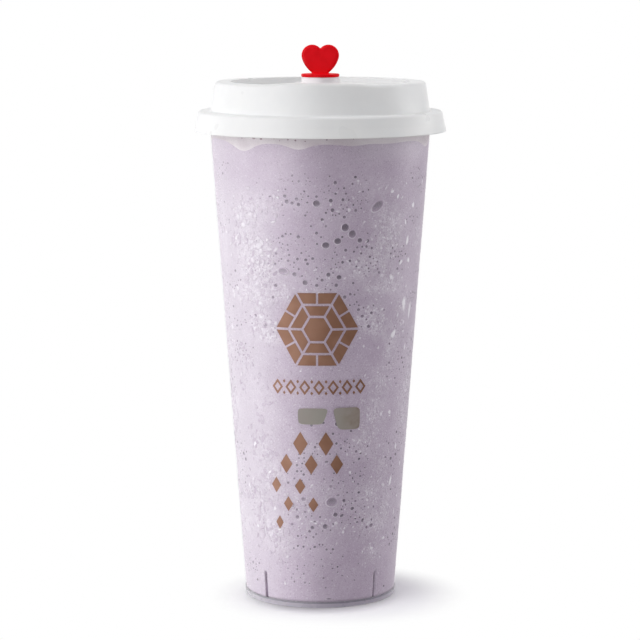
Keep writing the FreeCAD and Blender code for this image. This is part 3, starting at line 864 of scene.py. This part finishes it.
# Print on the outside of the cup: plain geometric shapes in copper ink, with two sage tiles
printLook = {
    "lift": 0.03 * mm,
    "thickness": 0.03 * mm,
    "gemPlace": (-1.2, 107.5),  # across from the front and up, mm
    "gemRings": [(0.0, 5.0, 6), (6.0, 10.2, 6), (11.2, 15.8, 12)],  # inner and outer radius, pieces
    "gemGap": 0.9,
    "borderPlace": (-0.5, 85.5),
    "borderShapes": 7,
    "borderPitch": 5.3,
    "borderSize": (4.3, 5.8),
    "borderStroke": 0.85,
    "borderDot": (1.1, 1.5, 2.2),  # width, height and distance from the row's middle
    # tiles: across, up, width, height, lean
    "sageTiles": [(-3.2, 74.5, 10.4, 6.2, 1.0), (10.4, 73.5, 9.6, 8.4, -1.0)],
    # rows of lozenges: height, first place across, how many, width, height
    "lozengeRows": [(64.0, -7.5, 2, 5.6, 9.2), (56.0, -13.0, 3, 4.9, 7.6), (47.5, -17.2, 2, 4.0, 6.2),
                    (40.5, -12.2, 2, 3.8, 5.8), (33.0, -15.8, 1, 3.2, 5.4)],
    "lozengePitch": 9.6,
    "asideReach": (5.0 * mm, 15.0 * mm),
    # worn places in the ink: noise from and to, strength from and to
    "cloudScale": 160.0,
    "clouds": (0.35, 0.65, 0.0, 0.8),
    "grainScale": 2600.0,
    "grains": (0.60, 0.78, 0.0, 0.35),
    "relief": (0.12, 0.0001),
    "gloss": 0.14,
    "copper": {"color": (0.172, 0.081, 0.049, 1), "worn": (0.21, 0.106, 0.068, 1),
               "aside": (0.172, 0.081, 0.049, 1), "roughness": 0.42, "metallic": 0.12},
    "sage": {"color": (0.30, 0.28, 0.25, 1), "worn": (0.30, 0.265, 0.242, 1),
             "aside": (0.20, 0.142, 0.108, 1), "roughness": 0.45, "metallic": 0.0},
}
printPatches = {"copper": [], "sage": []}


def addPatch(ink, across, up):
    # across and up are grids in mm on the unrolled cup; the patch is laid on the cone's outside
    z = up * mm
    turn = across * mm / outerRadius(z)
    grid = onCone(turn, z, cupShape["wall"] + printLook["lift"])
    rows, columns = grid.shape[:2]
    row, column = np.meshgrid(np.arange(rows - 1), np.arange(columns - 1), indexing="ij")
    low = row * columns + column
    faces = np.stack([low, low + 1, low + columns + 1, low + columns], axis=-1).reshape(-1, 4)
    a, b, c = grid[0, 0], grid[0, -1], grid[-1, 0]
    outward = np.dot(np.cross(b - a, c - a), (a + b + c) * np.array([1, 1, 0]))
    printPatches[ink].append((grid.reshape(-1, 3), faces if outward > 0 else faces[:, ::-1]))


def addGem():
    # rings of a hexagon: at each angle the radius is divided by the cosine of the angle from the
    # middle of that side, and each piece is shrunk by half a gap at its ends
    x0, z0 = printLook["gemPlace"]
    for inner, outer, pieces in printLook["gemRings"]:
        step = 2 * np.pi / pieces
        for piece in range(pieces):
            share = np.linspace(0, 1, 12)[None, :]
            radius = (inner + (outer - inner) * np.linspace(0, 1, 5))[:, None]
            halfGap = printLook["gemGap"] / 2 if inner > 0 else 0
            trim = np.minimum(halfGap / np.maximum(radius, 0.6), step / 2)
            swing = piece * step + trim + (step - 2 * trim) * share
            fromSide = (swing % (np.pi / 3)) - np.pi / 6
            reach = radius * math.cos(math.pi / 6) / np.cos(fromSide)
            addPatch("copper", x0 + reach * np.cos(swing), z0 + reach * np.sin(swing))


def addLozenge(ink, x0, z0, wide, tall, stroke=None):
    # |across| / half width + |up| / half height = 1, filled, or as a ring with a hollow middle
    swing = np.linspace(0, 2 * np.pi, 33)[None, :]
    size = 1 / (np.abs(np.cos(swing)) + np.abs(np.sin(swing)))
    inner = 0.0 if stroke is None else 1 - 2.2 * stroke / min(wide, tall)
    share = np.linspace(inner, 1, 4)[:, None]
    across = share * size * np.cos(swing)
    up = share * size * np.sin(swing)
    addPatch(ink, x0 + wide / 2 * across, z0 + tall / 2 * up)


def addTile(ink, x0, z0, wide, tall, lean):
    # a trapezoid with rounded corners: the superellipse of power 6, sheared by the lean as it rises
    swing = np.linspace(0, 2 * np.pi, 49)[None, :]
    size = (np.abs(np.cos(swing)) ** 6 + np.abs(np.sin(swing)) ** 6) ** (-1 / 6)
    share = np.linspace(0, 1, 6)[:, None]
    up = share * size * np.sin(swing)
    across = share * size * np.cos(swing) * (1 + 0.12 * up)
    addPatch(ink, x0 + wide / 2 * across + lean / 2 * up, z0 + tall / 2 * up)


def addBorder():
    # a row of hollow lozenges with two small filled ones, one over the other, between each pair
    x0, z0 = printLook["borderPlace"]
    wide, tall = printLook["borderSize"]
    dotWide, dotTall, dotRise = printLook["borderDot"]
    pitch = printLook["borderPitch"]
    for place in range(printLook["borderShapes"]):
        across = x0 + (place - (printLook["borderShapes"] - 1) / 2) * pitch
        addLozenge("copper", across, z0, wide, tall, printLook["borderStroke"])
        if place:
            addLozenge("copper", across - pitch / 2, z0 + dotRise, dotWide, dotTall)
            addLozenge("copper", across - pitch / 2, z0 - dotRise, dotWide, dotTall)


def inkMaterial(name, color, worn, aside, roughness, metallic):
    # the color turns to the aside color towards +X, over the width of the right tile
    material = newMaterial(name)
    point = objectPoint(material)
    grain = noise(material, point, printLook["grainScale"], 2.0)
    cloud = noise(material, point, printLook["cloudScale"], 3.0)
    side = addNode(material, "SeparateXYZ", {0: point}).outputs["X"]
    shade = mixColor(material, spread(material, side, *printLook["asideReach"]), color, aside)
    shade = mixColor(material, spread(material, cloud, *printLook["clouds"]), shade, worn)
    shade = mixColor(material, spread(material, grain, *printLook["grains"]), shade, worn)
    rough = spread(material, grain, 0.3, 0.7, roughness - 0.06, roughness + 0.06)
    return solidSurface(material, shade, rough, grain, printLook["relief"],
                        {"Metallic": metallic, "Specular IOR Level": printLook["gloss"]})


def makePrint():
    # collects the patches of each ink, and joins them in one piece with a thickness
    addGem()
    addBorder()
    for x0, z0, wide, tall, lean in printLook["sageTiles"]:
        addTile("sage", x0, z0, wide, tall, lean)
    for z0, first, count, wide, tall in printLook["lozengeRows"]:
        for place in range(count):
            addLozenge("copper", first + place * printLook["lozengePitch"], z0, wide, tall)
    for ink, patches in printPatches.items():
        starts = np.cumsum([0] + [len(points) for points, faces in patches[:-1]])
        vertices = np.concatenate([points for points, faces in patches])
        faces = np.concatenate([faces + start for (points, faces), start in zip(patches, starts)])
        material = inkMaterial(ink + "Ink", **printLook[ink])
        piece = meshPiece(ink + "Print", vertices, [faces], material, "print_" + ink)
        shell = piece.modifiers.new("inkThickness", "SOLIDIFY")
        shell.thickness = printLook["thickness"]
        shell.offset = 1.0
        piece.data.polygons.foreach_set("use_smooth", np.zeros(len(piece.data.polygons), bool))
        piece.visible_shadow = False  # the frosted wall softens away the ink's shadow and mirror image
        piece.visible_glossy = False
    print("print laid on the cup")


makePrint()

# Cup: clear plastic with a soft haze, so the drink shows through it
cupLook = {
    "color": (0.93, 0.92, 0.95, 1),
    "alpha": 0.05,
    "roughness": (0.3, 0.7, 0.26, 0.35),  # noise from and to, roughness from and to
    "ior": 1.5,
    "hazeScale": 260.0,
    "relief": (0.02, 0.0002),
    "gloss": 0.08,
    "footTop": (2.2 * mm, 2.7 * mm),  # below it the plastic is thicker and milkier, and painted greyer for the shade under the floor that shows through it
    "footColor": (0.47, 0.425, 0.515, 1),
    "footAlpha": 0.6,
    "footGloss": 0.5,
    "seamTop": (1.6 * mm, 1.9 * mm),  # from here to footTop a painted shade line where the wall meets the floor
    "seamShade": (0.24, 0.22, 0.28, 1),
}


def cupMaterial():
    # a hazy wall over a milky foot ring, with a painted shade line at the floor's seam between them
    material = newMaterial("cupPlastic")
    look = cupLook
    point = objectPoint(material)
    haze = noise(material, point, look["hazeScale"], 2.0)
    height = addNode(material, "SeparateXYZ", {0: point}).outputs["Z"]
    seam = spread(material, height, *look["seamTop"])
    wall = spread(material, height, *look["footTop"])
    color = mixColor(material, seam, look["footColor"], look["seamShade"])
    color = mixColor(material, wall, color, look["color"])
    gloss = calc(material, "MULTIPLY_ADD", wall, look["gloss"] - look["footGloss"], look["footGloss"])
    alpha = calc(material, "MULTIPLY_ADD", wall, look["alpha"] - look["footAlpha"], look["footAlpha"])
    return solidSurface(material, color, spread(material, haze, *look["roughness"]), haze, look["relief"],
                        {"IOR": look["ior"], "Specular IOR Level": gloss, "Alpha": alpha})


# Lid: smooth white plastic, a little uneven from the mould
lidLook = {
    "color": (0.80, 0.80, 0.80, 1),
    "shade": (0.77, 0.77, 0.775, 1),
    "cloudScale": 60.0,
    "clouds": (0.35, 0.65),
    "grainScale": 2500.0,
    "roughness": (0.3, 0.7, 0.27, 0.38),
    "relief": (0.06, 0.00015),
    "gloss": 0.3,
    "softness": 0.15,  # share of the light that goes into the plastic and comes out nearby
    "softReach": (1.0, 0.9, 0.85),  # how far it goes, for red, green and blue, times softScale
    "softScale": 2 * mm,
    "collarPlace": (0, -29.5 * mm, 201 * mm),  # painted red light from the stem on the white collar round it
    "collarReach": (8.5 * mm, 6.0 * mm, 0.0, 0.7),
    "collarStemGlow": (0.80, 0.66, 0.72, 1),
}


def lidMaterial():
    # white with faint clouds, and painted red light from the stem round it
    material = newMaterial("lidPlastic")
    look = lidLook
    point = objectPoint(material)
    cloud = noise(material, point, look["cloudScale"], 3.0)
    grain = noise(material, point, look["grainScale"], 2.0)
    color = mixColor(material, spread(material, cloud, *look["clouds"]), look["color"], look["shade"])
    stemGlow = spread(material, distanceFrom(material, point, look["collarPlace"]), *look["collarReach"])
    color = mixColor(material, stemGlow, color, look["collarStemGlow"])
    return solidSurface(material, color, spread(material, cloud, *look["roughness"]), grain, look["relief"],
                        {"Specular IOR Level": look["gloss"], "Subsurface Weight": look["softness"],
                         "Subsurface Radius": look["softReach"], "Subsurface Scale": look["softScale"]})


stopperLook = {
    "color": (0.79, 0.0015, 0.008, 1),
    "bright": (0.85, 0.003, 0.011, 1),
    "cloudScale": 300.0,
    "clouds": (0.35, 0.65),
    "grainScale": 4000.0,
    "roughness": 0.4,
    "relief": (0.1, 0.0001),
    "gloss": 0.025,
}


def stopperMaterial():
    # red with faint brighter clouds and a fine grain
    material = newMaterial("stopperPlastic")
    look = stopperLook
    point = objectPoint(material)
    cloud = noise(material, point, look["cloudScale"], 2.0)
    grain = noise(material, point, look["grainScale"], 2.0)
    color = mixColor(material, spread(material, cloud, *look["clouds"]), look["color"], look["bright"])
    return solidSurface(material, color, look["roughness"], grain, look["relief"],
                        {"Specular IOR Level": look["gloss"]})


def paintNode(name, material):
    # the frame's own object keeps its mesh and gets the material in each of its slots
    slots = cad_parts[name].material_slots
    for place in slots:
        place.material = material
    print(name, "painted in", len(slots), "slots")


paintNode("cup", cupMaterial())
paintNode("lid", lidMaterial())
paintNode("stopper", stopperMaterial())
print("cup, lid and stopper painted")

# Floor, backdrop, lamps and camera
stage = {
    "floorSize": 6.0,
    "floorColor": (0.8, 0.8, 0.8, 1),
    "shadowColor": (1.08, 1.08, 1.10, 1),
    "shadowPlace": (0.007, -0.006, 0),  # the soft shadow lies mostly to the right of the foot
    "shadowReach": (0.026, 0.052),  # where it starts to fade and where the paper is plain white
    "contactPlace": (0.0, -0.008, 0),  # painted contact shadow: the paper is darker close before the foot
    "contactReach": (0.020, 0.0335),
    "paintedContactShadow": (0.62, 0.60, 0.63, 1),
    "white": (1, 1, 1, 1),
    "tentRadius": 2.9,
    "tentGrid": (24, 48),
    "tentGlow": (0.36, 0.36, 0.365, 1),
    "glossSide": (-0.966, -0.259, 0),  # gloss shows a white room that is brighter towards this side
    "glossStrength": 6.6,
    "glossPower": 1.25,
    "lampAim": (0, 0, 0.11),
}


def anyRay(material, first, second):
    # 1 for a ray of either kind
    path = addNode(material, "LightPath").outputs
    return calc(material, "MAXIMUM", path["Is %s Ray" % first], path["Is %s Ray" % second])


def floorMaterial():
    # lamps see a plain matt floor; the camera sees the object's shadow near it, with a painted contact
    # shadow close before the foot, and white paper beyond; gloss looks through it at the white room, as over
    # a lit table
    material = newMaterial("floorPaper")
    seen = anyRay(material, "Camera", "Transmission")
    through = anyRay(material, "Glossy", "Shadow")
    point = objectPoint(material)
    clearOf = spread(material, distanceFrom(material, point, stage["contactPlace"]), *stage["contactReach"])
    away = spread(material, distanceFrom(material, point, stage["shadowPlace"]), *stage["shadowReach"])
    color = mixColor(material, clearOf, stage["paintedContactShadow"], stage["shadowColor"])
    plain = addNode(material, "BsdfDiffuse", {"Color": stage["floorColor"]})
    shaded = addNode(material, "BsdfDiffuse", {"Color": color})
    white = addNode(material, "Emission", {"Color": stage["white"], "Strength": 1.0})
    clear = addNode(material, "BsdfTransparent")
    paper = mixShader(material, seen, plain, mixShader(material, away, shaded, white))
    return finishMaterial(material, mixShader(material, through, paper, clear))


def addStage(name, vertices, faces, material):
    # a thing of the studio, which is no part of the object
    mesh = arrayMesh(name, vertices, faces)
    mesh.update(calc_edges=True)
    mesh.materials.append(material)
    thing = bpy.data.objects.new(name, mesh)
    bpy.context.scene.collection.objects.link(thing)
    return thing


def makeFloor():
    # a square sheet on the table's level
    corners = np.array([(-1, -1, 0), (1, -1, 0), (1, 1, 0), (-1, 1, 0)]) * stage["floorSize"] / 2
    addStage("floor", corners, [np.array([[0, 1, 2, 3]])], floorMaterial())


def makeTent():
    # a sphere round everything that only matt surfaces see: an even glow from all sides
    rows, columns = stage["tentGrid"]
    radius = stage["tentRadius"]
    polar = np.linspace(0, np.pi, rows + 2)[1:-1, None]
    swing = fullTurn(columns)
    rings = radius * np.stack([np.sin(polar) * np.cos(swing), np.sin(polar) * np.sin(swing),
                               -np.cos(polar) + 0 * swing], axis=-1)
    vertices = np.concatenate([rings.reshape(-1, 3), [[0, 0, -radius], [0, 0, radius]]])
    material = newMaterial("tentCloth")
    glow = addNode(material, "Emission", {"Color": stage["tentGlow"], "Strength": 1.0})
    tent = addStage("lightTent", vertices, turnedFaces(rows, columns), finishMaterial(material, glow))
    for ray in ("camera", "glossy", "transmission", "shadow"):
        setattr(tent, "visible_" + ray, False)


def makeWorld():
    # only the camera, gloss and clear plastic see the world: white paper, and for gloss a white room with
    # strength = 1 + glossStrength * (direction . glossSide) ^ glossPower
    world = bpy.data.worlds.new("studio")
    bpy.context.scene.world = world
    world.use_nodes = True
    world.node_tree.nodes.clear()
    seen = anyRay(world, "Camera", "Transmission")
    direction = addNode(world, "TexCoord").outputs["Generated"]
    facing = addNode(world, "VectorMath", {0: direction, 1: stage["glossSide"]},
                     operation="DOT_PRODUCT")
    facing = calc(world, "MAXIMUM", facing.outputs["Value"], 0.0)
    facing = calc(world, "POWER", facing, stage["glossPower"])
    strength = calc(world, "MULTIPLY_ADD", facing, stage["glossStrength"], 1.0)
    room = addNode(world, "Background", {"Color": stage["white"], "Strength": strength})
    paper = addNode(world, "Background", {"Color": stage["white"], "Strength": 1.0})
    addNode(world, "OutputWorld", {"Surface": mixShader(world, seen, room, paper).outputs[0]})
    world.cycles_visibility.diffuse = False


# Softboxes: angle from the front towards +X, height over the table, distance, width, height, watts, and
# whether the box also shows in gloss
softboxes = {
    "keySoftbox": (-50, 0.75, 1.0, 0.9, 0.9, 3.7, False),
    "rightSoftbox": (105, 0.35, 1.0, 0.7, 0.9, 4.4, True),
    "topSoftbox": (-30, 1.30, 0.35, 0.9, 0.9, 4.5, False),
}


def addSoftbox(name, angle, height, distance, width, tall, watts, inGloss):
    # a lamp of even glow, turned to face the cup's middle
    lamp = bpy.data.lights.new(name, "AREA")
    lamp.shape = "RECTANGLE"
    lamp.size = width
    lamp.size_y = tall
    lamp.energy = watts
    box = bpy.data.objects.new(name, lamp)
    turn = math.radians(angle)
    box.location = (distance * math.sin(turn), -distance * math.cos(turn), height)
    aim = Vector(stage["lampAim"]) - box.location
    box.rotation_euler = aim.to_track_quat("-Z", "Y").to_euler()
    box.visible_camera = False
    box.visible_glossy = inGloss
    bpy.context.scene.collection.objects.link(box)


# Camera: its place in metres, how far it looks down in degrees, and its lens and sensor in mm
cameraSetup = {"place": (-0.0001, -0.98845, 0.24441), "down": 7.974, "lens": 146.6, "sensor": 36}


def addCamera():
    lens = bpy.data.cameras.new("camera")
    lens.lens = cameraSetup["lens"]
    lens.sensor_width = cameraSetup["sensor"]
    lens.clip_end = 20
    camera = bpy.data.objects.new("camera", lens)
    camera.location = cameraSetup["place"]
    camera.rotation_euler = (math.radians(90 - cameraSetup["down"]), 0, 0)
    bpy.context.scene.collection.objects.link(camera)
    bpy.context.scene.camera = camera


makeFloor()
makeTent()
makeWorld()
for name, setup in softboxes.items():
    addSoftbox(name, *setup)
addCamera()
bpy.context.scene.view_settings.view_transform = "Standard"
print("stage ready")
